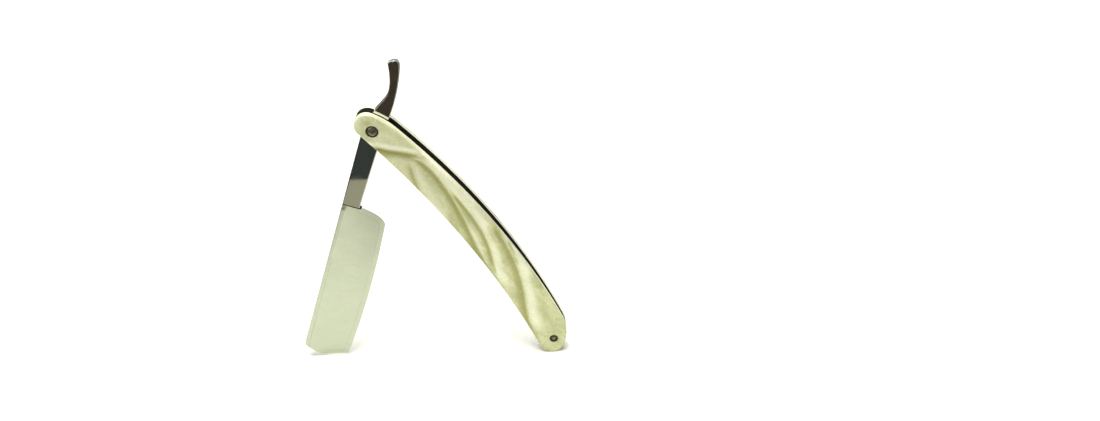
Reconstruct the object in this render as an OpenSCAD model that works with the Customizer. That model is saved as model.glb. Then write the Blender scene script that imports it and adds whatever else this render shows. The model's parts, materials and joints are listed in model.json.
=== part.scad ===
// Straight razor: a hollow-ground blade with a long tang, pinned between two bowed scales.
// Millimetres. Each piece is drawn flat, then stood up by stand_up().
// Flat drawing of the handle: x runs from the pivot pin to the wedge pin, y towards the convex back.
// Flat drawing of the blade: x runs from the pivot pin to the toe, y from the back to the edge.
// In both, z = 0 is the middle plane and +z becomes the front, -Y.

/* [Pose] */
// Angle between the blade and the handle as the razor stands
open_angle = 53.5; // [40:1:70]

/* [Blade] */
// Distance from the pivot pin to the tip of the toe
blade_reach = 126.8; // [100:0.2:152]
// Distance from the pivot pin to the shoulder, where the ground part begins
shank_reach = 41.6; // [30:0.1:50]
// Distance from the pivot axis to the back of the blade
back_offset = 4.3; // [3.5:0.1:5]
// Distance from the pivot axis to the cutting edge at its crest
edge_offset = 18.4; // [14:0.1:21]
// Thickness of the back of the blade
spine_t = 5; // [4.6:0.1:6]
// Thickness left at the cutting edge
edge_t = 0.1; // [0.1:0.05:0.3]
// Radius of the wheel that hollows the blade
hollow_r = 60; // [50:1:90]
// Half thickness left at the thinnest line of the hollow, at the heel
hollow_web = 0.25; // [0.15:0.05:0.4]
// Distance from the cutting edge to the thinnest line of the hollow
hollow_from_edge = 6.4; // [5:0.1:9]
// Width of the flat that the hollow leaves along the back
spine_flat = 1.7; // [1:0.1:3]
// Radius of the rounded toe
toe_r = 15.4; // [13:0.1:22]
// Radius of the toe's corner at the back
toe_corner_r = 2; // [1:0.1:3]
// Radius of the slight curve along the cutting edge
smile_r = 500; // [350:10:900]

/* [Tang] */
// Thickness of the tang and the shank
tang_t = 3.7; // [3:0.1:3.9]
// Width of the shank
shank_w = 8.7; // [7:0.1:10]
// Distance from the pivot pin to the end of the tail
tail_reach = 32.6; // [27:0.1:39]
// Thickness of the tail at its end
tail_end_t = 2.8; // [2:0.1:3.2]

/* [Handle] */
// Clearance between the toe and the wedge when the razor is shut
toe_room = 2.7; // [1:0.1:6]
// Distance from the front of the wedge to the wedge pin
wedge_lead = 6.5; // [5:0.1:12]
// Distance from the wedge pin to the end of the handle
butt_lead = 6.8; // [6:0.1:12]
// Distance that the circle of the butt would run past the end of the handle
butt_over = 3; // [2:0.1:4]
// Radius of the convex back
back_r = 350; // [300:5:450]
// Radius of the concave front
front_r = 415; // [370:5:520]
// Height of the back's crest above the line through the pins
back_crest = 15.1; // [13.5:0.1:17]
// Height of the front's crest above the line through the pins
front_crest = -1; // [-3:0.1:0]
// Distance from the pivot pin to the back's crest
back_crest_x = 71; // [60:1:82]
// Distance from the pivot pin to the front's crest
front_crest_x = 60; // [50:1:72]
// Distance that the nose's centre lies behind the pivot pin
nose_back = 3.4; // [1:0.1:4]
// Radius of the nose
nose_r = 5.5; // [5:0.1:6.2]
// Radius of the curve that joins the nose to the back
brow_r = 32; // [25:1:80]
// Radius of the broad curve of the butt
butt_r = 20.7; // [17:0.1:24]
// Radius of the corner that the handle stands on
corner_r = 6.1; // [5:0.1:8]
// Thickness of one scale
scale_t = 2.8; // [2.4:0.1:3.4]
// Thickness of one liner
liner_t = 0.4; // [0.3:0.05:0.8]
// Distance that each liner is set back from the scale's outline
liner_inset = 0.1; // [0.05:0.05:0.4]
// Radius that the scales bend to between the pins
bow_r = 5000; // [4000:100:9000]
// Distance from the pivot pin to where the bend begins
bow_x = 20; // [12:1:40]

/* [Hardware] */
// Diameter of the pins
pin_d = 1.6; // [1.4:0.1:2.2]
// Diameter of a peened pin head
head_d = 2.1; // [1.9:0.1:2.6]
// Height of a peened pin head
head_h = 0.2; // [0.15:0.05:0.4]
// Diameter of the collar at the pivot
pivot_collar_d = 5.4; // [4.6:0.1:6.4]
// Thickness of the collar at the pivot
pivot_collar_t = 0.3; // [0.2:0.05:0.5]
// Diameter of the domed washer at the pivot
dome_d = 4.2; // [3.4:0.1:4.6]
// Height of the domed washer at the pivot
dome_h = 0.45; // [0.3:0.05:0.6]
// Diameter of the collar at the wedge
wedge_collar_d = 4; // [3.4:0.1:5]
// Height of the rim of the collar at the wedge
wedge_collar_h = 0.6; // [0.4:0.05:0.8]
// Diameter of a thrust washer
thrust_d = 7; // [5:0.1:8]
// Thickness of a thrust washer
thrust_t = 0.25; // [0.2:0.05:0.4]

/* [Fits] */
// Radial clearance of the blade on its pin
run_gap = 0.05; // [0.02:0.01:0.1]
// Radial clearance of the fixed pieces on a pin
pin_gap = 0.02; // [0.01:0.01:0.05]
// Clearance between the tang and each thrust washer
side_gap = 0.05; // [0.03:0.01:0.15]
// Radial clearance of a collar in its seat
seat_gap = 0.1; // [0.05:0.05:0.3]
// Depth that each pin head lies below the scale's face
head_sink = 0.05; // [0:0.05:0.2]

/* [Hidden] */
$fn = 96;
slack = 0.01;
rim_w = 0.6;

// distances along the handle
wedge_front = blade_reach + toe_room;
wedge_x = wedge_front + wedge_lead;
handle_end = wedge_x + butt_lead;

// heights of the layers above the middle plane, at the pivot
liner_z = tang_t/2 + side_gap + thrust_t;
scale_z = liner_z + liner_t;
face_z = scale_z + scale_t;
pivot_seat_z = face_z - head_sink - head_h - dome_h - pivot_collar_t;
function bow(x) = x < bow_x ? 0 : (x - bow_x)^2/(2*bow_r);
wedge_seat_z = face_z - bow(wedge_x) - head_sink - wedge_collar_h;

// outline of the handle: circles for the front, the corner, the butt, the back, the brow and the nose
function towards(a) = [cos(a), sin(a)];
function dir(from, to) = atan2(to.y - from.y, to.x - from.x);
function arc(c, r, a0, a1, steps) = [for (i = [0:steps]) c + r*towards(a0 + (a1 - a0)*i/steps)];
// centre of the circle that lies r0 from c0 and r1 from c1, on the left of the line c0 to c1
function meet(c0, r0, c1, r1) =
    let (d = norm(c1 - c0), a = acos((r0^2 + d^2 - r1^2)/(2*r0*d)))
    c0 + r0*towards(dir(c0, c1) + a);
back_c = [back_crest_x, back_crest - back_r];
front_c = [front_crest_x, front_crest - front_r];
nose_c = [-nose_back, front_c.y + sqrt((front_r + nose_r)^2 - (nose_back + front_c.x)^2)];
brow_c = meet(nose_c, brow_r - nose_r, back_c, back_r - brow_r);
butt_x = handle_end - butt_r + butt_over;
butt_c = [butt_x, back_c.y + sqrt((back_r - butt_r)^2 - (butt_x - back_c.x)^2)];
corner_c = meet(butt_c, butt_r - corner_r, front_c, front_r + corner_r);

function handle_outline(inset) = concat(
    arc(nose_c, nose_r - inset, dir(brow_c, nose_c), 180 + dir(front_c, nose_c), 24),
    arc(front_c, front_r + inset, dir(front_c, nose_c), dir(front_c, corner_c), 24),
    arc(corner_c, corner_r - inset, dir(front_c, corner_c) - 180, dir(butt_c, corner_c), 16),
    arc(butt_c, butt_r - inset, dir(butt_c, corner_c), dir(back_c, butt_c), 16),
    arc(back_c, back_r - inset, dir(back_c, butt_c), dir(back_c, brow_c), 24),
    arc(brow_c, brow_r - inset, dir(back_c, brow_c), dir(brow_c, nose_c), 8));

// blade: the toe is an arc from the back to the edge, centred midway across the blade
toe_c = [blade_reach - toe_r, (edge_offset - back_offset)/2 - 0.4];
edge_crest_x = (shank_reach + blade_reach)/2 + 4;
function edge_y(x) = edge_offset - (x - edge_crest_x)^2/(2*smile_r);
function bezier(p, steps) = [for (i = [0:steps]) let (t = i/steps, u = 1 - t)
    u^3*p[0] + 3*u^2*t*p[1] + 3*u*t^2*p[2] + t^3*p[3]];

// the razor stands on the toe and on the handle's corner: both arcs touch the ground
level_a = corner_c.x - toe_c.x*cos(open_angle) - toe_c.y*sin(open_angle);
level_b = toe_c.y*cos(open_angle) - toe_c.x*sin(open_angle) - corner_c.y;
handle_dip = asin((toe_r - corner_r)/norm([level_a, level_b])) - atan2(level_b, level_a);
blade_dip = handle_dip + open_angle;
pivot_h = corner_r + corner_c.x*sin(handle_dip) - corner_c.y*cos(handle_dip);

// the outermost curves left and right: the toe's back corner and the butt
toe_corner_y = toe_corner_r - back_offset;
toe_corner = [toe_c.x + sqrt((toe_r - toe_corner_r)^2 - (toe_c.y - toe_corner_y)^2), toe_corner_y];
left_x = toe_corner.x*cos(blade_dip) + toe_corner.y*sin(blade_dip) - toe_corner_r;
right_x = butt_c.x*cos(handle_dip) + butt_c.y*sin(handle_dip) + butt_r;
middle_x = (left_x + right_x)/2;

module stand_up(dip) {
    translate([-middle_x, 0, pivot_h]) rotate([90, 0, 0]) rotate(-dip) children();
}

// +1 leaves a piece at the front, -1 mirrors it to the back
module side(s) {
    mirror([0, 0, s < 0 ? 1 : 0]) children();
}

// a layer of the handle that follows the bend, from height z0 to z1
module bowed(z0, z1) {
    step = (handle_end + corner_r - bow_x)/8;
    xs = [-2*nose_r, for (i = [0:8]) bow_x + i*step];
    rotate([90, 0, 0]) linear_extrude(height = 4*butt_r, center = true)
        polygon(concat([for (x = xs) [x, z0 - bow(x)]],
                       [for (i = [len(xs) - 1:-1:0]) [xs[i], z1 - bow(xs[i])]]));
}

module pin_holes(d) {
    for (x = [0, wedge_x]) translate([x, 0, 0]) cylinder(d = d, h = 4*face_z, center = true);
}

module scale_plate() {
    difference() {
        intersection() {
            linear_extrude(height = 2*face_z) polygon(handle_outline(0));
            bowed(scale_z, face_z);
        }
        pin_holes(pin_d + 2*pin_gap);
        translate([0, 0, pivot_seat_z]) cylinder(d = pivot_collar_d + 2*seat_gap, h = face_z);
        translate([wedge_x, 0, wedge_seat_z]) cylinder(d = wedge_collar_d + 2*seat_gap, h = face_z);
    }
}

module liner_plate() {
    difference() {
        intersection() {
            linear_extrude(height = 2*face_z) polygon(handle_outline(liner_inset));
            bowed(liner_z, scale_z);
        }
        pin_holes(pin_d + 2*pin_gap);
    }
}

// outline of the tail, the tang and the shank
module tang_2d() {
    shank_y = shank_w - back_offset;
    tail = -tail_reach;
    lap = 1;
    polygon(concat(
        [[shank_reach + lap, -back_offset], [shank_reach + lap, shank_y], [12, shank_y]],
        bezier([[4, shank_y + 0.1], [-8, 5.9], [-18, 6.4], [tail + 4.6, 4.3]], 12),
        bezier([[tail + 3.2, 4], [tail + 2, 3.8], [tail + 1.4, 3.6], [tail + 0.9, 3.2]], 3),
        bezier([[tail + 0.9, 3.2], [tail - 0.6, 2.2], [tail - 0.3, -0.8], [tail + 2, -1.4]], 10),
        bezier([[tail + 2, -1.4], [tail + 5.6, 0.3], [-22, 2.2], [-17.5, 1.9]], 10),
        bezier([[-17.5, 1.9], [-13, 1.5], [-6, -back_offset], [4, -back_offset]], 12)));
}

// outline of the ground part of the blade
module body_2d() {
    heel_x = shank_reach + 5;
    heel_y = edge_y(heel_x);
    edge = [for (i = [0:16]) let (x = heel_x + (toe_c.x + 11 - heel_x)*i/16) [x, edge_y(x)]];
    polygon(concat(
        [[shank_reach, -back_offset]],
        arc(toe_corner, toe_corner_r, -90, dir(toe_c, toe_corner), 6),
        arc(toe_c, toe_r, dir(toe_c, toe_corner), dir(toe_c, edge[16]), 20),
        [for (i = [15:-1:1]) edge[i]],
        bezier([[heel_x, heel_y], [heel_x - 1.6, heel_y - 2.1],
                [shank_reach + 0.8, heel_y - 4.1], [shank_reach, heel_y - 8.2]], 10)));
}

// one face's share of the hollow and of the edge bevel, cut from above
module grind() {
    long = 2*blade_reach;
    thin_y = edge_offset - hollow_from_edge;
    flat_y = spine_flat - back_offset;
    thinning = atan(0.15/(blade_reach - shank_reach));
    intersection() {
        translate([shank_reach + 2, thin_y, hollow_r + hollow_web]) rotate([0, 90 + thinning, 0])
            cylinder(r = hollow_r, h = long, $fn = 200);
        translate([shank_reach + 2, flat_y, 0]) cube([long, long, spine_t]);
    }
    bevel = atan((spine_t - edge_t)/2/(edge_offset + back_offset));
    translate([shank_reach - long/2, edge_offset, edge_t/2]) rotate([-bevel, 0, 0])
        translate([0, -long, 0]) cube([2*long, 2*long, long]);
}

module blade() {
    color("silver") stand_up(blade_dip) difference() {
        union() {
            difference() {
                linear_extrude(height = tang_t, center = true) tang_2d();
                tail_taper = atan((tang_t - tail_end_t)/2/(tail_reach - thrust_d));
                for (s = [-1, 1]) side(s) translate([-thrust_d, 0, tang_t/2]) rotate([0, -tail_taper, 0])
                    translate([-tail_reach, -tail_reach/2, 0]) cube(tail_reach);
            }
            difference() {
                linear_extrude(height = spine_t, center = true) body_2d();
                for (s = [-1, 1]) side(s) grind();
            }
        }
        cylinder(d = pin_d + 2*run_gap, h = 2*tang_t, center = true);
    }
}

module scale_piece(s) {
    color("ivory") stand_up(handle_dip) side(s) scale_plate();
}

module liner_piece(s) {
    color("black") stand_up(handle_dip) side(s) liner_plate();
}

module wedge() {
    color("dimgray") stand_up(handle_dip) difference() {
        intersection() {
            linear_extrude(height = 2*face_z, center = true) polygon(handle_outline(liner_inset));
            translate([wedge_front, -2*butt_r, -face_z]) cube([2*butt_lead + wedge_lead, 4*butt_r, 2*face_z]);
            bowed(-face_z, liner_z);
            side(-1) bowed(-face_z, liner_z);
        }
        pin_holes(pin_d + 2*pin_gap);
    }
}

// a pin with a low rounded head at each end, its heads' undersides at height z
module peened_pin(z) {
    cylinder(d = pin_d, h = 2*z + 2*slack, center = true);
    for (s = [-1, 1]) side(s) translate([0, 0, z]) low_dome(head_d, head_h);
}

// the cap of a sphere, d across and h high
module low_dome(d, h) {
    ball_r = (d^2/4 + h^2)/(2*h);
    intersection() {
        translate([0, 0, h - ball_r]) sphere(r = ball_r);
        cylinder(d = 2*d, h = 2*h);
    }
}

module pivot_pin() {
    color("gray") stand_up(handle_dip) peened_pin(pivot_seat_z + pivot_collar_t + dome_h);
}

module pivot_collar(s) {
    color("gray") stand_up(handle_dip) side(s) translate([0, 0, pivot_seat_z]) difference() {
        cylinder(d = pivot_collar_d, h = pivot_collar_t);
        cylinder(d = pin_d + 2*pin_gap, h = 4*pivot_collar_t, center = true);
    }
}

// the dome's top is cut flat to seat the pin's head
module pivot_dome(s) {
    color("silver") stand_up(handle_dip) side(s) translate([0, 0, pivot_seat_z + pivot_collar_t]) difference() {
        low_dome(dome_d, dome_h + 0.15);
        translate([0, 0, dome_h]) cylinder(d = dome_d, h = dome_h);
        cylinder(d = pin_d + 2*pin_gap, h = 4*dome_h, center = true);
    }
}

module thrust_washer(s) {
    color("goldenrod") stand_up(handle_dip) side(s) translate([0, 0, liner_z - thrust_t]) difference() {
        cylinder(d = thrust_d, h = thrust_t);
        cylinder(d = pin_d + 2*pin_gap, h = 4*thrust_t, center = true);
    }
}

module wedge_pin() {
    color("gray") stand_up(handle_dip) translate([wedge_x, 0, 0]) peened_pin(wedge_seat_z + wedge_collar_h/2);
}

// a cup washer: a flat floor half as high as its rim
module wedge_collar(s) {
    color("gray") stand_up(handle_dip) side(s) translate([wedge_x, 0, wedge_seat_z]) difference() {
        cylinder(d = wedge_collar_d, h = wedge_collar_h);
        translate([0, 0, wedge_collar_h/2]) cylinder(d = wedge_collar_d - 2*rim_w, h = wedge_collar_h);
        cylinder(d = pin_d + 2*pin_gap, h = 4*wedge_collar_h, center = true);
    }
}

blade();
scale_piece(1);  // front_scale
scale_piece(-1);  // back_scale
liner_piece(1);  // front_liner
liner_piece(-1);  // back_liner
wedge();
pivot_pin();
pivot_collar(1);  // front_pivot_collar
pivot_collar(-1);  // back_pivot_collar
pivot_dome(1);  // front_pivot_dome
pivot_dome(-1);  // back_pivot_dome
thrust_washer(1);  // front_thrust_washer
thrust_washer(-1);  // back_thrust_washer
wedge_pin();
wedge_collar(1);  // front_wedge_collar
wedge_collar(-1);  // back_wedge_collar
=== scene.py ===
import bpy
import json
import math
from mathutils import Matrix, Vector
from mathutils.kdtree import KDTree


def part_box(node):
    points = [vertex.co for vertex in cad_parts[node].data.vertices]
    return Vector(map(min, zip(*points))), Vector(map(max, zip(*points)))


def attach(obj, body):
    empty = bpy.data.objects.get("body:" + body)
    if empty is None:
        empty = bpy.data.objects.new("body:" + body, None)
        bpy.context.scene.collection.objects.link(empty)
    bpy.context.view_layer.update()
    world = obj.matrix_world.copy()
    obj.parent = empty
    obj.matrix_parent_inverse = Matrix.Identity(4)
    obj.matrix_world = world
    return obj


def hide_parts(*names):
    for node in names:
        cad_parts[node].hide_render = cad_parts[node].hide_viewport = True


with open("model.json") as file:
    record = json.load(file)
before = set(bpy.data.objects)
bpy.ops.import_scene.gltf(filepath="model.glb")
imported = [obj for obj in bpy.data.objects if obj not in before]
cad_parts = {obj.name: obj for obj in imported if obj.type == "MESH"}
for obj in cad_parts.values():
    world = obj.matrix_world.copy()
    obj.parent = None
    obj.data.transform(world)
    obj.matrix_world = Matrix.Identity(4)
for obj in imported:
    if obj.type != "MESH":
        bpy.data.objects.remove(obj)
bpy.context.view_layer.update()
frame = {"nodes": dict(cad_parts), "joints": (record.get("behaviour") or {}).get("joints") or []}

# ---------------------------------------------------------------- the set
# A pale floor under a big soft light, with a sweep behind it, a weak fill and the camera. In front and
# behind, a low dark flag and a grey card on the floor show in reflections alone, for the steel to mirror.
def only(*pieces):
    """Select these objects and nothing else, the first one active."""
    bpy.ops.object.select_all(action="DESELECT")
    for piece in pieces:
        piece.select_set(True)
    bpy.context.view_layer.objects.active = pieces[0]


def named(name):
    """The active object, renamed with its mesh."""
    piece = bpy.context.active_object
    piece.name = name
    piece.data.name = name
    return piece


camera_data = bpy.data.cameras.new("camera")
camera_data.lens = 32.727
camera_data.sensor_width = 36
camera_data.clip_start = 0.01
CAMERA_PLACE, CAMERA_TILT, CAMERA_ROLL = (0.05753, -0.39225, 0.30404), 60, -2
camera = bpy.data.objects.new("camera", camera_data)
camera.matrix_world = (Matrix.Translation(CAMERA_PLACE)
                       @ Matrix.Rotation(math.radians(CAMERA_TILT), 4, "X")
                       @ Matrix.Rotation(math.radians(CAMERA_ROLL), 4, "Z"))
bpy.context.scene.collection.objects.link(camera)
bpy.context.scene.camera = camera

bpy.ops.mesh.primitive_plane_add(size=12, location=(0, 0, 0))
floor = named("floor")
floor_paint = bpy.data.materials.new("pale_floor")
floor_paint.use_nodes = True
paint = floor_paint.node_tree.nodes["Principled BSDF"]
paint.inputs["Base Color"].default_value = (0.9, 0.9, 0.87, 1)
paint.inputs["Roughness"].default_value = 0.9
floor.data.materials.append(floor_paint)
FACTOR, COLOUR_A, COLOUR_B, MIXED = 0, 6, 7, 2  # a mix node's sockets for colours
SOFTNESS = 0.004


def card(name, place, size, turned, low_colour, high_colour, axis, change):
    """A sheet that only shows in reflections, in two colours that meet where an axis has this value."""
    bpy.ops.mesh.primitive_plane_add(size=1, location=place, rotation=turned)
    sheet = named(name)
    sheet.scale = (*size, 1)
    sheet_paint = bpy.data.materials.new(name)
    sheet_paint.use_nodes = True
    links, nodes = sheet_paint.node_tree.links, sheet_paint.node_tree.nodes
    where, split = nodes.new("ShaderNodeNewGeometry"), nodes.new("ShaderNodeSeparateXYZ")
    mask, mix = nodes.new("ShaderNodeMapRange"), nodes.new("ShaderNodeMix")
    mask.inputs["From Min"].default_value = change - SOFTNESS
    mask.inputs["From Max"].default_value = change + SOFTNESS
    mix.data_type = "RGBA"
    mix.inputs[COLOUR_A].default_value = (*low_colour, 1)
    mix.inputs[COLOUR_B].default_value = (*high_colour, 1)
    links.new(where.outputs["Position"], split.inputs["Vector"])
    links.new(split.outputs[axis], mask.inputs["Value"])
    links.new(mask.outputs["Result"], mix.inputs[FACTOR])
    links.new(mix.outputs[MIXED], nodes["Principled BSDF"].inputs["Base Color"])
    nodes["Principled BSDF"].inputs["Roughness"].default_value = 1
    sheet.data.materials.append(sheet_paint)
    sheet.visible_camera = False
    sheet.visible_diffuse = False
    sheet.visible_shadow = False
    return sheet


SLATE, BROWN = (0.022, 0.029, 0.03), (0.034, 0.023, 0.014)
WARM_GREY, PALE_GREY = (0.2, 0.2, 0.14), (0.53, 0.56, 0.46)
CARD_LENGTH, CARD_DEPTH, CARD_CHANGE = 0.9, 0.185, 0.138
FLAG_HEIGHT, FLAG_CHANGE = 0.124, 0.032
for side, way, low, high in (("front", -1, WARM_GREY, PALE_GREY), ("back", 1, PALE_GREY, WARM_GREY)):
    card(f"{side}_flag", (0, way*CARD_DEPTH, FLAG_HEIGHT/2), (CARD_LENGTH, FLAG_HEIGHT),
                  (math.pi/2, 0, 0), SLATE, BROWN, "Z", FLAG_CHANGE)
    card(f"{side}_card", (0, way*CARD_DEPTH/2, 0.001), (CARD_LENGTH, CARD_DEPTH),
                  (0, 0, 0), low, high, "Y", way*CARD_CHANGE)


def soft_light(name, place, aim, size, power, colour=(1, 1, 1)):
    """An area lamp at this place, turned to this aim."""
    lamp = bpy.data.lights.new(name, "AREA")
    lamp.shape = "RECTANGLE"
    lamp.size, lamp.size_y = size
    lamp.energy = power
    lamp.color = colour
    holder = bpy.data.objects.new(name, lamp)
    holder.location = place
    holder.rotation_euler = (Vector(aim) - Vector(place)).to_track_quat("-Z", "Y").to_euler()
    bpy.context.scene.collection.objects.link(holder)


soft_light("overhead", (-0.04, -0.10, 0.72), (0, 0, 0.05), (0.45, 0.35), 6.5, (1, 0.985, 0.92))
soft_light("sweep", (0.1, 0.75, 0.75), (0.1, 1.0, 0), (2.4, 0.8), 10)
soft_light("fill", (-0.55, -0.65, 0.35), (0, 0, 0.08), (0.5, 0.5), 0.9)
world = bpy.data.worlds.new("tent")
world.use_nodes = True
world.node_tree.nodes["Background"].inputs["Color"].default_value = (1, 1, 0.94, 1)
world.node_tree.nodes["Background"].inputs["Strength"].default_value = 0.4
bpy.context.scene.world = world
bpy.context.scene.view_settings.view_transform = "Standard"

# ---------------------------------------------------------------- the blade
# One forging of carbon steel: a hollow-ground body with a satin face, then a polished shank, tang and
# tail. Drawn flat in millimetres from the pivot: x to the toe, y from the back to the edge, z the front.
pivot = Vector(frame["joints"][0]["pos_m"])
wedge_low, wedge_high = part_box("wedge_pin")
reach = (wedge_low + wedge_high)/2 - pivot
handle_dip = math.atan2(-reach.z, reach.x)
open_angle = math.radians(53.5)
blade_dip = handle_dip + open_angle


def bezier(points, steps):
    """Points on a cubic curve with these four control points."""
    a, b, c, d = (Vector(p) for p in points)
    for i in range(steps + 1):
        t = i/steps
        yield a*(1 - t)**3 + b*3*t*(1 - t)**2 + c*3*t*t*(1 - t) + d*t**3


def arc(centre, radius, start, end, steps):
    """Points on a circle, from one angle to another in degrees."""
    for i in range(steps + 1):
        a = math.radians(start + (end - start)*i/steps)
        yield Vector((centre[0] + radius*math.cos(a), centre[1] + radius*math.sin(a)))


def lookup(points, x):
    """The y of a line of points, in order of x, at this x."""
    if x <= points[0][0]:
        return points[0][1]
    for (x0, y0), (x1, y1) in zip(points, points[1:]):
        if x <= x1:
            return y0 + (y1 - y0)*(x - x0)/max(x1 - x0, 1e-9)
    return points[-1][1]


def search_tree(points):
    """A tree that finds the nearest of these points."""
    tree = KDTree(len(points))
    for i, p in enumerate(points):
        tree.insert((p.x, p.y, 0), i)
    tree.balance()
    return tree


def wrapped_grid(name, around, across, place):
    """A grid with its vertices put at place(i, k), what meets welded and the open ends capped."""
    bpy.ops.mesh.primitive_grid_add(x_subdivisions=around, y_subdivisions=across, size=2)
    piece = named(name)
    for vertex in piece.data.vertices:
        i = round((vertex.co.x + 1)/2*around)
        k = round((vertex.co.y + 1)/2*across)
        vertex.co = place(i, k)
    only(piece)
    bpy.ops.object.mode_set(mode="EDIT")
    bpy.ops.mesh.select_all(action="SELECT")
    bpy.ops.mesh.remove_doubles(threshold=1e-4)
    bpy.ops.mesh.dissolve_degenerate(threshold=1e-5)
    bpy.ops.mesh.select_all(action="SELECT")
    bpy.ops.mesh.fill_holes(sides=0)
    bpy.ops.mesh.select_all(action="SELECT")
    bpy.ops.mesh.normals_make_consistent(inside=False)
    bpy.ops.object.mode_set(mode="OBJECT")
    return piece


def stand_up(piece, dip):
    """From flat millimetres to its place in the frame, with the pivot as the drawing's origin."""
    piece.matrix_world = (Matrix.Translation(pivot) @ Matrix.Rotation(math.pi/2, 4, "X")
                          @ Matrix.Rotation(-dip, 4, "Z") @ Matrix.Scale(0.001, 4))
    only(piece)
    bpy.ops.object.transform_apply(location=True, rotation=True, scale=True)
    return piece


def cut(piece, cutter):
    """Take the cutter's shape out of the piece."""
    only(piece)
    saw = piece.modifiers.new("cut", "BOOLEAN")
    saw.operation = "DIFFERENCE"
    saw.solver = "EXACT"
    saw.object = cutter
    bpy.ops.object.modifier_apply(modifier="cut")
    bpy.data.objects.remove(cutter)


BACK, EDGE, SHOULDER, SHANK_TOP, TOE = -4.3, 18.4, 40.8, 4.4, 126.8
EDGE_CREST, EDGE_BOW, TOE_START = 88.2, 1000, 122.6
toe_centre, toe_radius = Vector((111.4, 6.65)), 15.4
back_side = (list(bezier([(-32.9, 1.9), (-32.8, 0.3), (-31.7, -1.2), (-30.6, -1.4)], 12))
             + list(bezier([(-30.6, -1.4), (-27, 0.3), (-22, 2.2), (-17.5, 1.9)], 24))
             + list(bezier([(-17.5, 1.9), (-13, 1.5), (-6, BACK), (4, BACK)], 24))
             + [Vector((SHOULDER, BACK))]
             + list(arc((121.37, -2.3), 2, -90, -42, 10))
             + list(arc(toe_centre, toe_radius, -42, 0, 40)))


def edge_curve(x):
    """The y of the bowed cutting edge."""
    return EDGE - (x - EDGE_CREST)**2/EDGE_BOW


edge_side = (list(bezier([(-32.9, 1.9), (-32.85, 2.4), (-32.6, 2.8), (-32.1, 3.1)], 12))
             + list(bezier([(-32.1, 3.1), (-31.5, 3.6), (-30, 4), (-28.4, 4.3)], 12))
             + list(bezier([(-28.4, 4.3), (-18, 6.4), (-8, 5.9), (4, 4.5)], 30))
             + list(bezier([(4, 4.5), (12, 4.4), (30, 3.9), (SHOULDER - 1, 3.7)], 12))
             + list(bezier([(SHOULDER - 1, 3.7), (SHOULDER - 0.3, 3.7), (SHOULDER - 0.2, 3.9),
                            (SHOULDER, SHANK_TOP)], 8))
             + list(bezier([(SHOULDER, SHANK_TOP), (SHOULDER + 0.5, 9.5), (SHOULDER + 2, edge_curve(45) - 1.6),
                            (SHOULDER + 5.2, edge_curve(SHOULDER + 5.2))], 40))
             + [Vector((x, edge_curve(x))) for x in range(47, 122, 2)])
toe_top = math.degrees(math.acos((TOE_START - toe_centre.x)/toe_radius))
edge_side += list(arc(toe_centre, toe_radius, toe_top, 0, 40))

# the grid's columns: every point of the outlines, then every half millimetre, closer at toe and shoulder
stations = sorted(set([round(p.x, 3) for p in back_side if p.x < 3.9 or p.x > 121]
                      + [round(p.x, 3) for p in edge_side]
                      + [x*0.5 for x in range(8, 240)] + [x*0.25 for x in range(480, 507)]
                      + [SHOULDER + step for step in (-0.5, -0.42, -0.2, -0.12, 0, 0.2)]))
stations = [x for i, x in enumerate(stations) if i == 0 or x - stations[i - 1] > 0.004]
# the grid's rows, as parts of the way from back to edge: close at the corners, the spine and the bevel
steps_over = ([0, 0.006, 0.013, 0.022, 0.034, 0.05, 0.062, 0.0745, 0.08, 0.0865, 0.093, 0.1, 0.12]
              + [0.15 + 0.036*i for i in range(21)] + [0.9, 0.93, 0.95, 0.965, 0.98, 0.992, 1])
rows = len(steps_over)

# half thicknesses of the tang, the tail's end, the spine, the web of the hollow and the edge
TANG, TAIL, SPINE, WEB, KEEN = 1.85, 1.4, 2.5, 0.25, 0.05
# where the tang starts to thin towards the tail's end, and where that ends
TAIL_START, TAIL_END = 7, 34
# the rounded corners, the strip along the spine, the hollow's circle and its thinning to the toe, the bevel
CORNER, SPINE_CORNER, SPINE_STRIP_END, SPINE_SLOPE = 0.35, 0.4, -2.6, 1.5
HOLLOW_Y, HOLLOW_RADIUS, THINNING, BEVEL_SLOPE = 12, 60, 0.15, 0.108
GROOVE_DEPTH = 0.25


def ramp(value, low, high):
    """From 0 to 1 between two values, eased at both ends."""
    t = min(max((value - low)/(high - low), 0), 1)
    return t*t*(3 - 2*t)


def round_off(depth, radius):
    """How far a face has risen, from 0 to 1, at this depth behind a rounded corner."""
    if depth >= radius:
        return 1
    return math.sqrt(max(1 - (1 - depth/radius)**2, 0))


def half_thickness(x, y, back, edge):
    """How far the steel reaches from the middle plane, by place and by the outline's two sides there."""
    from_back, from_edge = max(y - back, 0), max(edge - y, 0)
    flat = TANG - (TANG - TAIL)*ramp(-x, TAIL_START, TAIL_END)
    corner = 0.4 - 0.1*ramp(-x, 7, 12)
    tang = CORNER + (flat - CORNER)*min(round_off(from_back, corner), round_off(from_edge, corner))
    if x < SHOULDER:
        return tang - GROOVE_DEPTH*ramp(x, SHOULDER - 0.5, SHOULDER - 0.4)*ramp(from_back, 0, 0.3)
    hollow = WEB + (y - HOLLOW_Y)**2/(2*HOLLOW_RADIUS) - THINNING*(x - SHOULDER)/(TOE - SHOULDER)
    spine = SPINE - SPINE_SLOPE*max(y - SPINE_STRIP_END, 0)
    bevel = KEEN + BEVEL_SLOPE*max(edge_curve(x) - y, 0)
    eased = SPINE_CORNER*(1 - round_off(from_back, SPINE_CORNER))*ramp(-y, 0, 4)
    ground = max(min(max(spine, hollow), bevel), KEEN) - eased
    filed = ramp(x, SHOULDER, SHOULDER + (3 if ground > tang else 0.6))
    return (tang if y < SHANK_TOP else ground)*(1 - filed) + ground*filed


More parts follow.
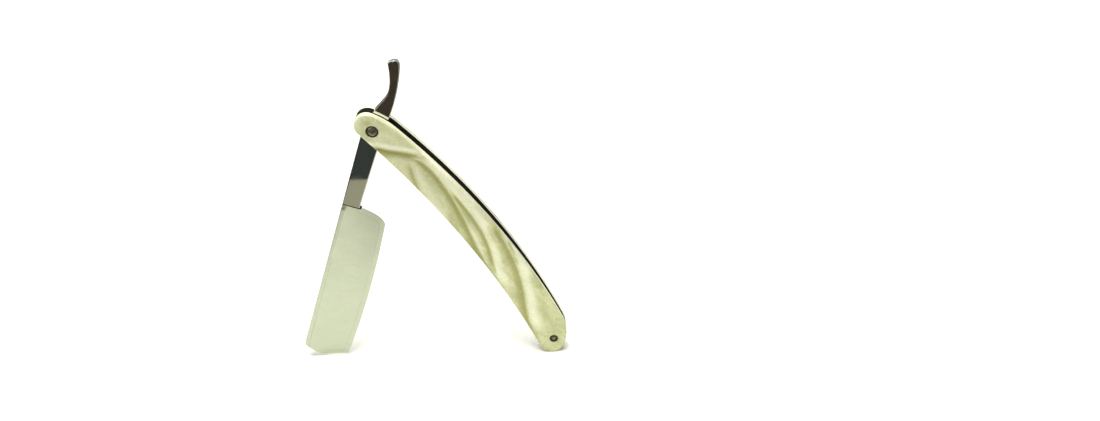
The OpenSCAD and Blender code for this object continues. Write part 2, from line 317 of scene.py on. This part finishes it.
def on_blade(i, k):
    """Column i, with row k going over the front from back to edge and over the rear to the back again."""
    x = stations[i]
    back, edge = lookup(back_side, x), lookup(edge_side, x)
    if k == 2*rows:
        k = 0
    front = k < rows
    y = back + (edge - back)*steps_over[k if front else 2*rows - 1 - k]
    z = half_thickness(x, y, back, edge)
    return Vector((x, y, z if front else -z))


blade = wrapped_grid("blade_steel", len(stations) - 1, 2*rows, on_blade)
PIN_RADIUS, HOLE, TANG_HOLE, DRILL_LENGTH = 0.8, 0.82, 0.85, 8
bpy.ops.mesh.primitive_cylinder_add(vertices=48, radius=TANG_HOLE, depth=DRILL_LENGTH)
cut(blade, named("pivot_drill"))
edge_tree = search_tree([p for p in edge_side if p.x >= SHOULDER])
distance = blade.data.attributes.new("from_edge", "FLOAT", "POINT")
distance.data.foreach_set("value", [edge_tree.find((v.co.x, v.co.y, 0))[2] for v in blade.data.vertices])
stand_up(blade, blade_dip)
only(blade)
bpy.ops.object.shade_smooth_by_angle(angle=math.radians(28))


def node(tree, kind, at, **settings):
    """A shader node at this place on the sheet, with these settings."""
    made = tree.nodes.new(kind)
    made.location = at
    for key, value in settings.items():
        setattr(made, key, value)
    return made


def feed(tree, made, **values):
    """Give a node's inputs their values, or join them to another node's output."""
    for key, value in values.items():
        socket = made.inputs[key.replace("_", " ")]
        if isinstance(value, bpy.types.NodeSocket):
            tree.links.new(value, socket)
        elif isinstance(value, tuple) and len(value) == 3 and socket.type == "RGBA":
            socket.default_value = (*value, 1)
        else:
            socket.default_value = value
    return made


def drawing_mm(tree, dip):
    """Coordinates of the flat drawing in millimetres: x along the piece, z across it."""
    place = node(tree, "ShaderNodeTexCoord", (-1800, 0))
    turn = node(tree, "ShaderNodeMapping", (-1600, 0))
    feed(tree, turn, Vector=place.outputs["Object"], Rotation=(0, -dip, 0), Scale=(1000, 1000, 1000),
         Location=tuple(Matrix.Rotation(-dip, 3, "Y") @ (pivot*-1000)))
    return turn.outputs["Vector"]


def noise(tree, vector, at, scale, detail=2, rough=0.5, distort=0, stretch=(1, 1, 1), turn=0):
    """A noise pattern in the drawing's millimetres, stretched and then turned."""
    squeeze = node(tree, "ShaderNodeMapping", (at[0] - 200, at[1]))
    feed(tree, squeeze, Vector=vector, Scale=stretch, Rotation=(0, turn, 0))
    made = node(tree, "ShaderNodeTexNoise", at)
    feed(tree, made, Vector=squeeze.outputs["Vector"], Scale=scale, Detail=detail, Roughness=rough,
         Distortion=distort)
    return made.outputs["Fac"]


def between(tree, value, at, low, high, to_low=0, to_high=1):
    """A value's span low to high, eased onto another span."""
    made = node(tree, "ShaderNodeMapRange", at, interpolation_type="SMOOTHSTEP")
    feed(tree, made, Value=value, From_Min=low, From_Max=high, To_Min=to_low, To_Max=to_high)
    return made.outputs["Result"]


def blend(tree, factor, a, b, at, kind="MIX"):
    """Two colours mixed by a mask; each is a socket or a colour."""
    made = node(tree, "ShaderNodeMix", at, data_type="RGBA", blend_type=kind)
    for where, value in ((FACTOR, factor), (COLOUR_A, a), (COLOUR_B, b)):
        socket = made.inputs[where]
        if isinstance(value, bpy.types.NodeSocket):
            tree.links.new(value, socket)
        else:
            socket.default_value = (*value, 1) if isinstance(value, tuple) else value
    return made.outputs[MIXED]


def bump(tree, height, at, depth, under=None):
    """A height in metres laid on the surface, over another bump if there is one."""
    made = node(tree, "ShaderNodeBump", at)
    feed(tree, made, Height=height, Distance=depth, Strength=1.0)
    if under:
        feed(tree, made, Normal=under)
    return made.outputs["Normal"]


def effect(name, inputs, outputs):
    """A new node group with its named inputs and outputs."""
    tree = bpy.data.node_groups.new(name, "ShaderNodeTree")
    for label, kind in inputs:
        tree.interface.new_socket(label, in_out="INPUT", socket_type="NodeSocket" + kind)
    for label in outputs:
        tree.interface.new_socket(label, in_out="OUTPUT", socket_type="NodeSocketFloat")
    return tree, node(tree, "NodeGroupInput", (-1200, 0)).outputs, node(tree, "NodeGroupOutput", (600, 0))


def use(tree, group, at, **values):
    """The outputs of a node group, given its inputs."""
    made = node(tree, "ShaderNodeGroup", at, node_tree=group)
    return feed(tree, made, **values).outputs


# fine parallel lines left by a wheel or a mop, with patches where they are rubbed out
tool_marks, given, made = effect("tool_marks", [("Vector", "Vector"), ("Lines", "Float")],
                                 ["Height", "Rubbed"])
tool_lines = noise(tool_marks, given["Vector"], (-600, 200), given["Lines"], 3, 0.6, 0, (1, 1, 0.03))
patches = noise(tool_marks, given["Vector"], (-600, -200), 0.22, 3, 0.55, 0.8, (1, 1, 0.6))
feed(tool_marks, made, Height=tool_lines, Rubbed=between(tool_marks, patches, (-200, -200), 0.4, 0.68))

# what hands leave: broad smudges, and small dark specks of tarnish or dust
handling, given, made = effect("handling", [("Vector", "Vector"), ("Size", "Float")], ["Smudge", "Specks"])
broad = noise(handling, given["Vector"], (-600, 200), given["Size"], 3, 0.5, 1.5)
small = noise(handling, given["Vector"], (-600, -200), 1.6, 2, 0.5, 0.3)
feed(handling, made, Smudge=between(handling, broad, (-200, 200), 0.42, 0.66),
     Specks=between(handling, small, (-200, -200), 0.7, 0.8))


def finish(name):
    """A new material: its node tree and its shader."""
    paint = bpy.data.materials.new(name)
    paint.use_nodes = True
    return paint, paint.node_tree, paint.node_tree.nodes["Principled BSDF"]


# the ground faces: a satin grain from back to edge, and a faint line of painted shade where the bevel starts
BEVEL_LINE, LINE_RISE, LINE_FADE = 2.45, 0.25, 0.35
satin, tree, shader = finish("satin_steel")
mm = drawing_mm(tree, blade_dip)
marks = use(tree, tool_marks, (-1100, 200), Vector=mm, Lines=5.0)
touch = use(tree, handling, (-1100, -200), Vector=mm, Size=0.07)
inset = node(tree, "ShaderNodeAttribute", (-1100, -500), attribute_name="from_edge").outputs["Fac"]
line = between(tree, inset, (-800, -500), BEVEL_LINE - LINE_RISE, BEVEL_LINE)
past = between(tree, inset, (-800, -700), BEVEL_LINE, BEVEL_LINE + LINE_FADE, 1, 0)
shine = blend(tree, marks["Rubbed"], (0.81, 0.83, 0.74), (0.84, 0.85, 0.78), (-600, 300))
shine = blend(tree, between(tree, marks["Height"], (-800, 100), 0.3, 0.7, 0, 0.3), shine, (0.62, 0.65, 0.57),
              (-400, 300))
# painted shade: a faint dark line where the bevel starts
painted_bevel_shade = between(tree, blend(tree, line, (0, 0, 0), past, (-600, -500)), (-400, -500), 0, 1, 0, 0.28)
shine = blend(tree, painted_bevel_shade, shine, (0.5, 0.52, 0.44), (-200, 300))
shine = blend(tree, between(tree, touch["Specks"], (-800, -200), 0, 1, 0, 0.25), shine, (0.4, 0.38, 0.3),
              (0, 300))
feed(tree, shader, Base_Color=shine, Metallic=1.0,
     Roughness=between(tree, touch["Smudge"], (-400, 0), 0, 1, 0.36, 0.40),
     Normal=bump(tree, marks["Height"], (-400, -200), 0.000004))

# the shank, tang and tail: mopped to a mirror, with hairlines, some tarnish, and painted shade in the
# shoulder's recess
polished, tree, shader = finish("polished_steel")
mm = drawing_mm(tree, blade_dip)
marks = use(tree, tool_marks, (-1100, 200), Vector=mm, Lines=9.0)
touch = use(tree, handling, (-1100, -200), Vector=mm, Size=0.25)
shine = blend(tree, between(tree, touch["Specks"], (-800, -200), 0, 1, 0, 0.5), (0.80, 0.80, 0.77),
              (0.45, 0.42, 0.36), (-200, 300))
lengthwise = node(tree, "ShaderNodeSeparateXYZ", (-1100, -500))
feed(tree, lengthwise, Vector=mm)
# painted shade in the narrow filed recess before the shoulder
painted_shoulder_shade = between(tree, lengthwise.outputs["X"], (-800, -500), SHOULDER - 0.6, SHOULDER - 0.42)
shine = blend(tree, painted_shoulder_shade, shine, (0.09, 0.08, 0.06), (0, 300))
feed(tree, shader, Base_Color=shine, Metallic=1.0,
     Roughness=between(tree, touch["Smudge"], (-400, 0), 0, 1, 0.03, 0.05),
     Normal=bump(tree, marks["Height"], (-400, -200), 0.0000004))
blade.data.materials.append(satin)
blade.data.materials.append(polished)
along = Vector((math.cos(blade_dip), 0, -math.sin(blade_dip)))
for face in blade.data.polygons:
    face.material_index = 0 if (face.center - pivot).dot(along) > (SHOULDER - 0.02)/1000 else 1
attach(blade, "blade")
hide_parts("blade")

# ---------------------------------------------------------------- the scales
# Two plates of pearl plastic, moulded with long overlapping swirls, rounded over at the rim and bent
# in to the wedge. Drawn flat in millimetres from the pivot: x to the butt, y to the convex back.
WEDGE_X, FACE, INNER = 136, 5.35, 2.55
nose_c, brow_c, butt_c, corner_c = (-3.4, -0.307), (10.87, -22.637), (125.1, -10.074), (137.301, -2.056)
back_c, front_c = (71, -334.9), (60, -416)
nose_r, brow_r, butt_r, corner_r, back_r, front_r = 5.5, 32, 20.7, 6.1, 350, 415


def heading(start, end):
    """The direction from one point to another, in degrees."""
    return math.degrees(math.atan2(end[1] - start[1], end[0] - start[0]))


nose = list(arc(nose_c, nose_r, heading(brow_c, nose_c), 180 + heading(front_c, nose_c), 60))
front = list(arc(front_c, front_r, heading(front_c, nose_c), heading(front_c, corner_c), 200))
corner = list(arc(corner_c, corner_r, heading(front_c, corner_c) - 180, heading(butt_c, corner_c), 30))
butt = list(arc(butt_c, butt_r, heading(butt_c, corner_c), heading(back_c, butt_c), 60))
back = list(arc(back_c, back_r, heading(back_c, butt_c), heading(back_c, brow_c), 200))
brow = list(arc(brow_c, brow_r, heading(back_c, brow_c), heading(brow_c, nose_c), 30))
upper = (butt + back + brow)[::-1]
COLUMNS = 440
columns = [WEDGE_X*i/COLUMNS for i in range(COLUMNS + 1)]
outline = ([Vector((x, lookup(front, x))) for x in columns]
           + [p for p in corner + butt[1:] if p.x > WEDGE_X + 0.1]
           + [Vector((x, lookup(upper, x))) for x in reversed(columns)]
           + [p for p in brow + nose[1:] + front if p.x < -0.1])
outline.append(outline[0])

# each swirl: points along it, the rise of its left side, the drop of its right side, half its wall's
# width, how far the rise and the drop reach, and how strong its painted shade and painted highlight
# are. The last three are soft ones.
swirls = [
    ([(0, -10.5), (4, -6.2), (5.5, -4.4), (7.5, -2.3), (10, 0), (12.5, 2.4), (15, 4.8), (17.5, 7.2),
      (20, 9.3), (22.5, 11.3), (25.5, 13.6)], 0.1, 0.85, 0.8, 2, 5, 1.1),
    ([(17.5, 4.6), (19, 6), (21.5, 7.6), (25, 8.8), (30, 9.4), (36, 9.3), (43, 8.6), (50, 7.3), (58, 5.5),
      (65, 3.6), (72, 1.6), (79, 0.1), (87, -1.1), (96, -2), (104, -2.6)], 0.42, 0.6, 0.75, 4.5, 4, 1),
    ([(40, 10.6), (47, 10.3), (55, 10), (62, 9.3), (69, 8.1), (76, 6), (82, 3.4), (88, 0.8), (92, -1)],
     0.42, 0.5, 0.7, 4, 3.5, 1),
    ([(64, 15.6), (72, 14.6), (80, 13), (86, 11.6), (92, 9.9), (98, 7.6), (104, 4.8), (110, 1.7),
      (116, -1.4), (121, -3.6), (127, -4.6), (134, -5.2)], 0.5, 0.7, 0.85, 5, 5, 0.95),
    ([(96, 14.6), (104, 13.9), (110, 12.7), (116, 10), (120, 6.2), (121.8, 2.5), (121.6, -1)],
     0.2, 0.4, 1.4, 4, 5, 0.25),
    ([(18, 5.2), (22, 3.7), (26, 2), (30, 0.5), (35, -0.9), (41, -1.7), (48, -2.2), (58, -2.8)],
     0.22, 0.25, 1, 3.5, 3, 0.7),
    ([(76, 15.9), (84, 13.9), (90, 11.9), (96, 9.2)], 0.1, 0.12, 0.5, 2, 2, 0.5),
]


def smooth_line(points, gap):
    """A curve through the points, sampled about every gap, with the direction at each sample."""
    points = [Vector(p) for p in points]
    padded = [points[0]*2 - points[1]] + points + [points[-1]*2 - points[-2]]
    line = []
    for p0, p1, p2, p3 in zip(padded, padded[1:], padded[2:], padded[3:]):
        steps = max(2, round((p2 - p1).length/gap))
        for i in range(steps):
            t = i/steps
            line.append(0.5*(2*p1 + (p2 - p0)*t + (2*p0 - 5*p1 + 4*p2 - p3)*t*t
                             + (3*p1 - p0 - 3*p2 + p3)*t**3))
    line.append(points[-1])
    return line


LINE_GAP, FADE_IN, FADE_OUT = 0.25, 30, 50
carving = []
for points, *shape in swirls:
    line = smooth_line(points, LINE_GAP)
    carving.append((line, search_tree(line), shape))


def relief(x, y):
    """How far the swirls lift the face here, and the painted shade (above 0) or painted highlight (below 0) in
    the pearl's colour there.
    """
    total, shade, glow = 0, 0, 0
    for line, near_line, (rise, drop, wall, rise_reach, drop_reach, dark) in carving:
        _, i, away = near_line.find((x, y, 0))
        ahead = line[min(i + 1, len(line) - 1)] - line[max(i - 1, 0)]
        off = Vector((x, y)) - line[i]
        side = (ahead.x*off.y - ahead.y*off.x)/ahead.length
        fade = ramp(i, 0, FADE_IN)*ramp(len(line) - 1 - i, 0, FADE_OUT)
        height, reach = (rise, rise_reach) if side > 0 else (drop, drop_reach)
        total += height*fade*math.tanh(side/wall)*math.exp(-away/reach)
        # painted shade at the foot of the wall, fading away from it, and a painted highlight on the slope
        # above
        foot = -0.8*wall
        below = math.exp(-((side - foot)/(wall if side > foot else 0.6*drop_reach))**2)
        shade = max(shade, dark*fade*below)
        glow = max(glow, dark*fade*math.exp(-((side - 0.6*rise_reach)/(0.7*rise_reach))**2))
    # a painted highlight at the nose's rim, and a patch of painted shade before the pivot
    nose_glow = 0.7*ramp(-x, 2, 8)*ramp(-y, -4, 1)
    nose_shade = 0.6*math.exp(-((x + 4.4)**2 + (y - 0.8)**2)/5)
    glow, shade = max(glow, nose_glow), max(shade, nose_shade)
    return total, shade - 0.65*glow*(1 - min(shade, 1))


# the rounding of the rim, how much the face falls from the middle to the rim, how far it is set down,
# and the bend of the scales towards the wedge
RIM, RIM_STEPS, FACE_STEPS, PILLOW, SET_DOWN, LOWER_CHAMFER = 0.75, 6, 28, 0.1, 0.09, 0.12
BEND_START, BEND, CREST_X, CREST_Y = 20, 10000, 68, 7


def middle(x):
    """A point near the middle of the scale's width, level with this x."""
    x = min(max(x, 0), WEDGE_X)
    return Vector((x, CREST_Y*(1 - ((x - CREST_X)/CREST_X)**2)))


def bow(x):
    """How far the scale has bent inwards at this x."""
    return max(x - BEND_START, 0)**2/BEND


def on_scale(i, k):
    """Point i of the outline, with row k going from the inner face over the rim to the face's middle."""
    rim = outline[i]
    centre = middle(rim.x)
    inward = (centre - rim).normalized()
    span = (centre - rim).length
    if k == 0:
        return Vector((centre.x, centre.y, INNER - bow(centre.x)))
    if k == 1:
        p = rim + inward*LOWER_CHAMFER
        return Vector((p.x, p.y, INNER - bow(p.x)))
    if k == 2:
        return Vector((rim.x, rim.y, INNER - bow(rim.x) + LOWER_CHAMFER))
    k -= 3
    if k <= RIM_STEPS:
        a = math.pi/2*k/RIM_STEPS
        depth, drop = RIM*(1 - math.cos(a)), RIM*(1 - math.sin(a))
    else:
        t = (k - RIM_STEPS)/FACE_STEPS
        depth, drop = RIM + (span - RIM)*t, 0
    p = rim + inward*depth
    t = min(depth/span, 1)
    top = FACE - bow(p.x) - drop - PILLOW*(1 - t)**2
    return Vector((p.x, p.y, top + relief(p.x, p.y)[0]*ramp(depth, -0.4, 1.6) - SET_DOWN))


front_scale = wrapped_grid("front_scale_pearl", len(outline) - 1, 3 + RIM_STEPS + FACE_STEPS, on_scale)


def drill(x, radius, low):
    """A cutter across the handle, from this height up through the face."""
    bpy.ops.mesh.primitive_cylinder_add(vertices=96, radius=radius, depth=DRILL_LENGTH,
                                        location=(x, 0, low + DRILL_LENGTH/2))
    return named("drill")


PIVOT_SEAT, WEDGE_SEAT, SIDE_WALL, PALE = 4.35, 3.354, 1.1, -0.9
cut(front_scale, drill(0, 2.85, PIVOT_SEAT))
cut(front_scale, drill(0, HOLE, 1))
cut(front_scale, drill(WEDGE_X, 2.1, WEDGE_SEAT))
cut(front_scale, drill(WEDGE_X, HOLE, 1))
# the attribute holds painted shade (above 0) and painted highlight (below 0): from the swirls on the face, and
# a painted highlight on the side wall and everything lower
shading = front_scale.data.attributes.new("painted_relief_light", "FLOAT", "POINT")
shading.data.foreach_set("value", [relief(v.co.x, v.co.y)[1] if v.co.z > FACE - bow(v.co.x) - SIDE_WALL
                                   else PALE for v in front_scale.data.vertices])
stand_up(front_scale, handle_dip)
only(front_scale)
bpy.ops.object.shade_smooth_by_angle(angle=math.radians(35))

# pearl: long clouds, veins and bright flecks; painted olive shade in the grooves, a painted cream highlight
# on the ridge slopes and the rim, and painted light that makes it lighter towards the pivot
pearl, tree, shader = finish("pearl_plastic")
mm = drawing_mm(tree, handle_dip)
LIE = math.radians(-17)
clouds = between(tree, noise(tree, mm, (-1000, 300), 0.2, 3, 0.5, 1.0, (0.5, 1, 1), LIE), (-800, 300),
                 0.3, 0.7)
tinge = between(tree, noise(tree, mm, (-1000, 600), 0.13, 2, 0.5, 0.6), (-800, 600), 0.52, 0.72, 0, 0.4)
veins = between(tree, noise(tree, mm, (-1000, 0), 0.55, 4, 0.6, 2.0, (0.3, 1, 1), LIE), (-800, 0),
                0.46, 0.8, 0, 0.7)
flecks = between(tree, noise(tree, mm, (-1000, -300), 1.1, 2, 0.6, 0.6, (0.7, 1, 1), LIE), (-800, -300),
                 0.66, 0.8, 0, 0.8)
touch = use(tree, handling, (-1000, -900), Vector=mm, Size=0.1)
painted_relief_light = node(tree, "ShaderNodeAttribute", (-1000, -600), attribute_name="painted_relief_light").outputs["Fac"]
lengthwise = node(tree, "ShaderNodeSeparateXYZ", (-800, 900))
feed(tree, lengthwise, Vector=mm)
# painted light: the pearl is painted lighter towards the pivot
painted_pivot_light = between(tree, lengthwise.outputs["X"], (-500, 900), 70, 5, 0, 0.3)
# from the attribute: painted olive shade where it is above 0, painted cream highlight where it is below 0
painted_groove_shade = between(tree, painted_relief_light, (-800, -600), 0, 1, 0, 0.85)
painted_ridge_highlight = between(tree, painted_relief_light, (-800, -750), 0, PALE, 0, 0.85)
colour = blend(tree, clouds, (0.47, 0.49, 0.25), (0.63, 0.64, 0.37), (-500, 300))
colour = blend(tree, tinge, colour, (0.66, 0.62, 0.46), (-400, 600))
colour = blend(tree, veins, colour, (0.76, 0.78, 0.52), (-300, 300))
colour = blend(tree, painted_pivot_light, colour, (0.82, 0.84, 0.58), (-200, 600))
colour = blend(tree, flecks, colour, (0.86, 0.90, 0.76), (-100, 300))
# lay on the painted shade in the grooves, then the painted highlight on the ridge slopes and the rim
colour = blend(tree, painted_groove_shade, colour, (0.33, 0.32, 0.10), (100, 300))
colour = blend(tree, painted_ridge_highlight, colour, (0.96, 0.97, 0.78), (200, 300))
colour = blend(tree, between(tree, touch["Specks"], (-800, -900), 0, 1, 0, 0.12), colour, (0.2, 0.18, 0.1),
               (300, 300))
feed(tree, shader, Base_Color=colour, Metallic=0.2, Coat_Weight=0.4, Coat_Roughness=0.07,
     Roughness=between(tree, touch["Smudge"], (-300, 0), 0, 1, 0.22, 0.32),
     Normal=bump(tree, clouds, (-300, -300), 0.00003))
front_scale.data.materials.append(pearl)
bpy.ops.object.duplicate()
back_scale = named("back_scale_pearl")
only(back_scale)
bpy.ops.object.mode_set(mode="EDIT")
bpy.ops.mesh.select_all(action="SELECT")
bpy.ops.transform.mirror(constraint_axis=(False, True, False), center_override=(0, 0, 0))
bpy.ops.mesh.normals_make_consistent(inside=False)
bpy.ops.object.mode_set(mode="OBJECT")
for piece, node_name in ((front_scale, "front_scale"), (back_scale, "back_scale")):
    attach(piece, "handle")
    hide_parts(node_name)

# ---------------------------------------------------------------- the liners, wedge and washers
# Two thin black liners and a wedge of the same vulcanised fibre, sawn from sheet and sanded at the rim;
# and the two brass washers that the tang turns between. Their CAD shapes are as they are made.
fibre, tree, shader = finish("black_fibre")
mm = drawing_mm(tree, handle_dip)
touch = use(tree, handling, (-1000, 0), Vector=mm, Size=0.3)
fuzz = noise(tree, mm, (-1000, 300), 4.0, 4, 0.7, 0, (0.2, 1, 1))
black = blend(tree, between(tree, fuzz, (-700, 300), 0.35, 0.7), (0.010, 0.009, 0.008), (0.028, 0.024, 0.02),
              (-400, 300))
black = blend(tree, between(tree, touch["Specks"], (-700, 0), 0, 1, 0, 0.5), black, (0.12, 0.11, 0.09),
              (-200, 300))
feed(tree, shader, Base_Color=black, Roughness=between(tree, touch["Smudge"], (-400, 0), 0, 1, 0.42, 0.6),
     Normal=bump(tree, fuzz, (-400, -300), 0.00002))

brass, tree, shader = finish("washer_brass")
mm = drawing_mm(tree, handle_dip)
marks = use(tree, tool_marks, (-1000, 300), Vector=mm, Lines=8.0)
touch = use(tree, handling, (-1000, 0), Vector=mm, Size=0.4)
gold = blend(tree, touch["Smudge"], (0.72, 0.52, 0.22), (0.42, 0.28, 0.12), (-400, 300))
feed(tree, shader, Base_Color=gold, Metallic=1.0,
     Roughness=between(tree, marks["Rubbed"], (-400, 0), 0, 1, 0.3, 0.45),
     Normal=bump(tree, marks["Height"], (-400, -300), 0.000003))
for name, paint in (("front_liner", fibre), ("back_liner", fibre), ("wedge", fibre),
                    ("front_thrust_washer", brass), ("back_thrust_washer", brass)):
    frame["nodes"][name].data.materials.clear()
    frame["nodes"][name].data.materials.append(paint)

# ---------------------------------------------------------------- the collars and domes
# At the pivot a domed washer on a flat dark collar, let into each scale; at the wedge a small cup
# washer. Turned from steel rod, so each is a round blank whose outer face is cut in steps.
dull, tree, shader = finish("fitting_steel")
mm = drawing_mm(tree, handle_dip)
marks = use(tree, tool_marks, (-1000, 300), Vector=mm, Lines=6.0)
touch = use(tree, handling, (-1000, 0), Vector=mm, Size=0.9)
worn = blend(tree, touch["Smudge"], (0.27, 0.27, 0.23), (0.14, 0.13, 0.10), (-400, 300))
worn = blend(tree, touch["Specks"], worn, (0.08, 0.06, 0.03), (-200, 300))
feed(tree, shader, Base_Color=worn, Metallic=1.0,
     Roughness=between(tree, marks["Rubbed"], (-400, 0), 0, 1, 0.24, 0.42),
     Normal=bump(tree, touch["Smudge"], (-400, -300), 0.00002))

tarnished, tree, shader = finish("tarnished_steel")
mm = drawing_mm(tree, handle_dip)
touch = use(tree, handling, (-1000, 0), Vector=mm, Size=0.7)
brown = blend(tree, touch["Smudge"], (0.045, 0.032, 0.014), (0.11, 0.085, 0.04), (-400, 300))
feed(tree, shader, Base_Color=brown, Metallic=0.8,
     Roughness=between(tree, touch["Smudge"], (-400, 0), 0, 1, 0.3, 0.5),
     Normal=bump(tree, touch["Specks"], (-400, -300), 0.00002))


def blank(name, radius, x, y_low, y_high):
    """A round steel blank across the handle, at this distance along it; sizes in millimetres."""
    centre = pivot*1000 + Vector((math.cos(handle_dip), 0, -math.sin(handle_dip)))*x
    centre.y = (y_low + y_high)/2
    bpy.ops.object.select_all(action="DESELECT")
    bpy.ops.mesh.primitive_cylinder_add(vertices=64, radius=radius/1000, depth=(y_high - y_low)/1000,
                                        location=centre/1000, rotation=(math.pi/2, 0, 0))
    bpy.ops.object.transform_apply(location=True, rotation=True, scale=True)
    return named(name), centre/1000


def pick_ends(piece, *ways):
    """Go into edit mode with the flat round ends that face these ways selected."""
    bpy.ops.object.mode_set(mode="OBJECT")
    only(piece)
    bpy.ops.object.mode_set(mode="EDIT")
    bpy.ops.mesh.select_mode(type="FACE")
    bpy.ops.mesh.select_all(action="DESELECT")
    bpy.ops.object.mode_set(mode="OBJECT")
    for face in piece.data.polygons:
        face.select = len(face.vertices) > 4 and face.normal.y*max(ways, key=lambda w: w*face.normal.y) > 0.9
    bpy.ops.object.mode_set(mode="EDIT")


def step_in(steps):
    """Cut the picked ends in steps, each so many millimetres inward and so many outward."""
    for inward, out in steps:
        bpy.ops.mesh.inset(thickness=inward/1000, depth=out/1000)


def ease_edges(piece, width):
    """Round the sharp edges by this many millimetres and shade the piece smooth."""
    bpy.ops.object.mode_set(mode="OBJECT")
    rounding = piece.modifiers.new("eased", "BEVEL")
    rounding.width = width/1000
    rounding.segments = 2
    rounding.limit_method = "ANGLE"
    rounding.angle_limit = math.radians(35)
    bpy.ops.object.modifier_apply(modifier="eased")
    bpy.ops.object.shade_smooth_by_angle(angle=math.radians(40))


def washer(name, radius, x, low, high, steps, paint):
    """The front washer with this profile and its twin at the back, each with the pin's hole."""
    for side, way in (("front", -1), ("back", 1)):
        piece, _ = blank(f"{side}_{name}_steel", radius, x, *sorted((way*low, way*high)))
        left = radius - sum(inward for inward, out in steps)
        pick_ends(piece, way)
        step_in(steps + [(left - HOLE, 0)])
        pick_ends(piece, -way)
        step_in([(radius - HOLE, 0)])
        pick_ends(piece, -1, 1)
        bpy.ops.mesh.bridge_edge_loops()
        ease_edges(piece, 0.04)
        piece.data.materials.append(paint)
        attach(piece, "handle")
        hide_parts(f"{side}_{name}")


washer("pivot_collar", 2.7, 0, PIVOT_SEAT, 4.62, [(0.2, 0.03), (0.25, -0.08)], tarnished)
washer("pivot_dome", 2.08, 0, 4.58, 4.68,
       [(0.06, 0.05), (0.12, 0.08), (0.2, 0.08), (0.25, 0.07), (0.25, 0.05), (0.2, 0.02)], dull)
washer("wedge_collar", 1.99, WEDGE_X, WEDGE_SEAT, 3.94,
       [(0.26, 0.01), (0.05, -0.28), (0.3, -0.02)], tarnished)

# ---------------------------------------------------------------- the pins
# A steel pin through each end of the handle, its two ends peened over the washers with a hammer: a
# plain rod, each end spread into a low head and left a little uneven.
SPREAD, HEAD_HEIGHT, UNEVEN = 1.3, 0.05, 0.02
for name, x, seat, seed in (("pivot_pin", 0, 5.08, 3), ("wedge_pin", WEDGE_X, 3.66, 8)):
    piece, centre = blank(name + "_steel", PIN_RADIUS, x, -seat, seat)
    for way in (-1, 1):
        pick_ends(piece, way)
        bpy.ops.mesh.extrude_region_move()
        bpy.ops.transform.resize(value=(SPREAD, 1, SPREAD),
                                 center_override=(centre.x, way*seat/1000, centre.z))
        bpy.ops.mesh.extrude_region_move(TRANSFORM_OT_translate={"value": (0, way*HEAD_HEIGHT/1000, 0)})
        step_in([(0.06, 0.05), (0.16, 0.05), (0.2, 0.02), (0.15, -0.03), (0.25, 0.03)])
    ease_edges(piece, 0.02)
    for face in piece.data.polygons:
        face.select = abs(face.center.y) > (seat + 0.06)/1000
    bpy.ops.object.mode_set(mode="EDIT")
    bpy.ops.transform.vertex_random(offset=UNEVEN/1000, normal=1, seed=seed)
    bpy.ops.object.mode_set(mode="OBJECT")
    piece.data.materials.append(dull)
    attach(piece, "handle")
    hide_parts(name)
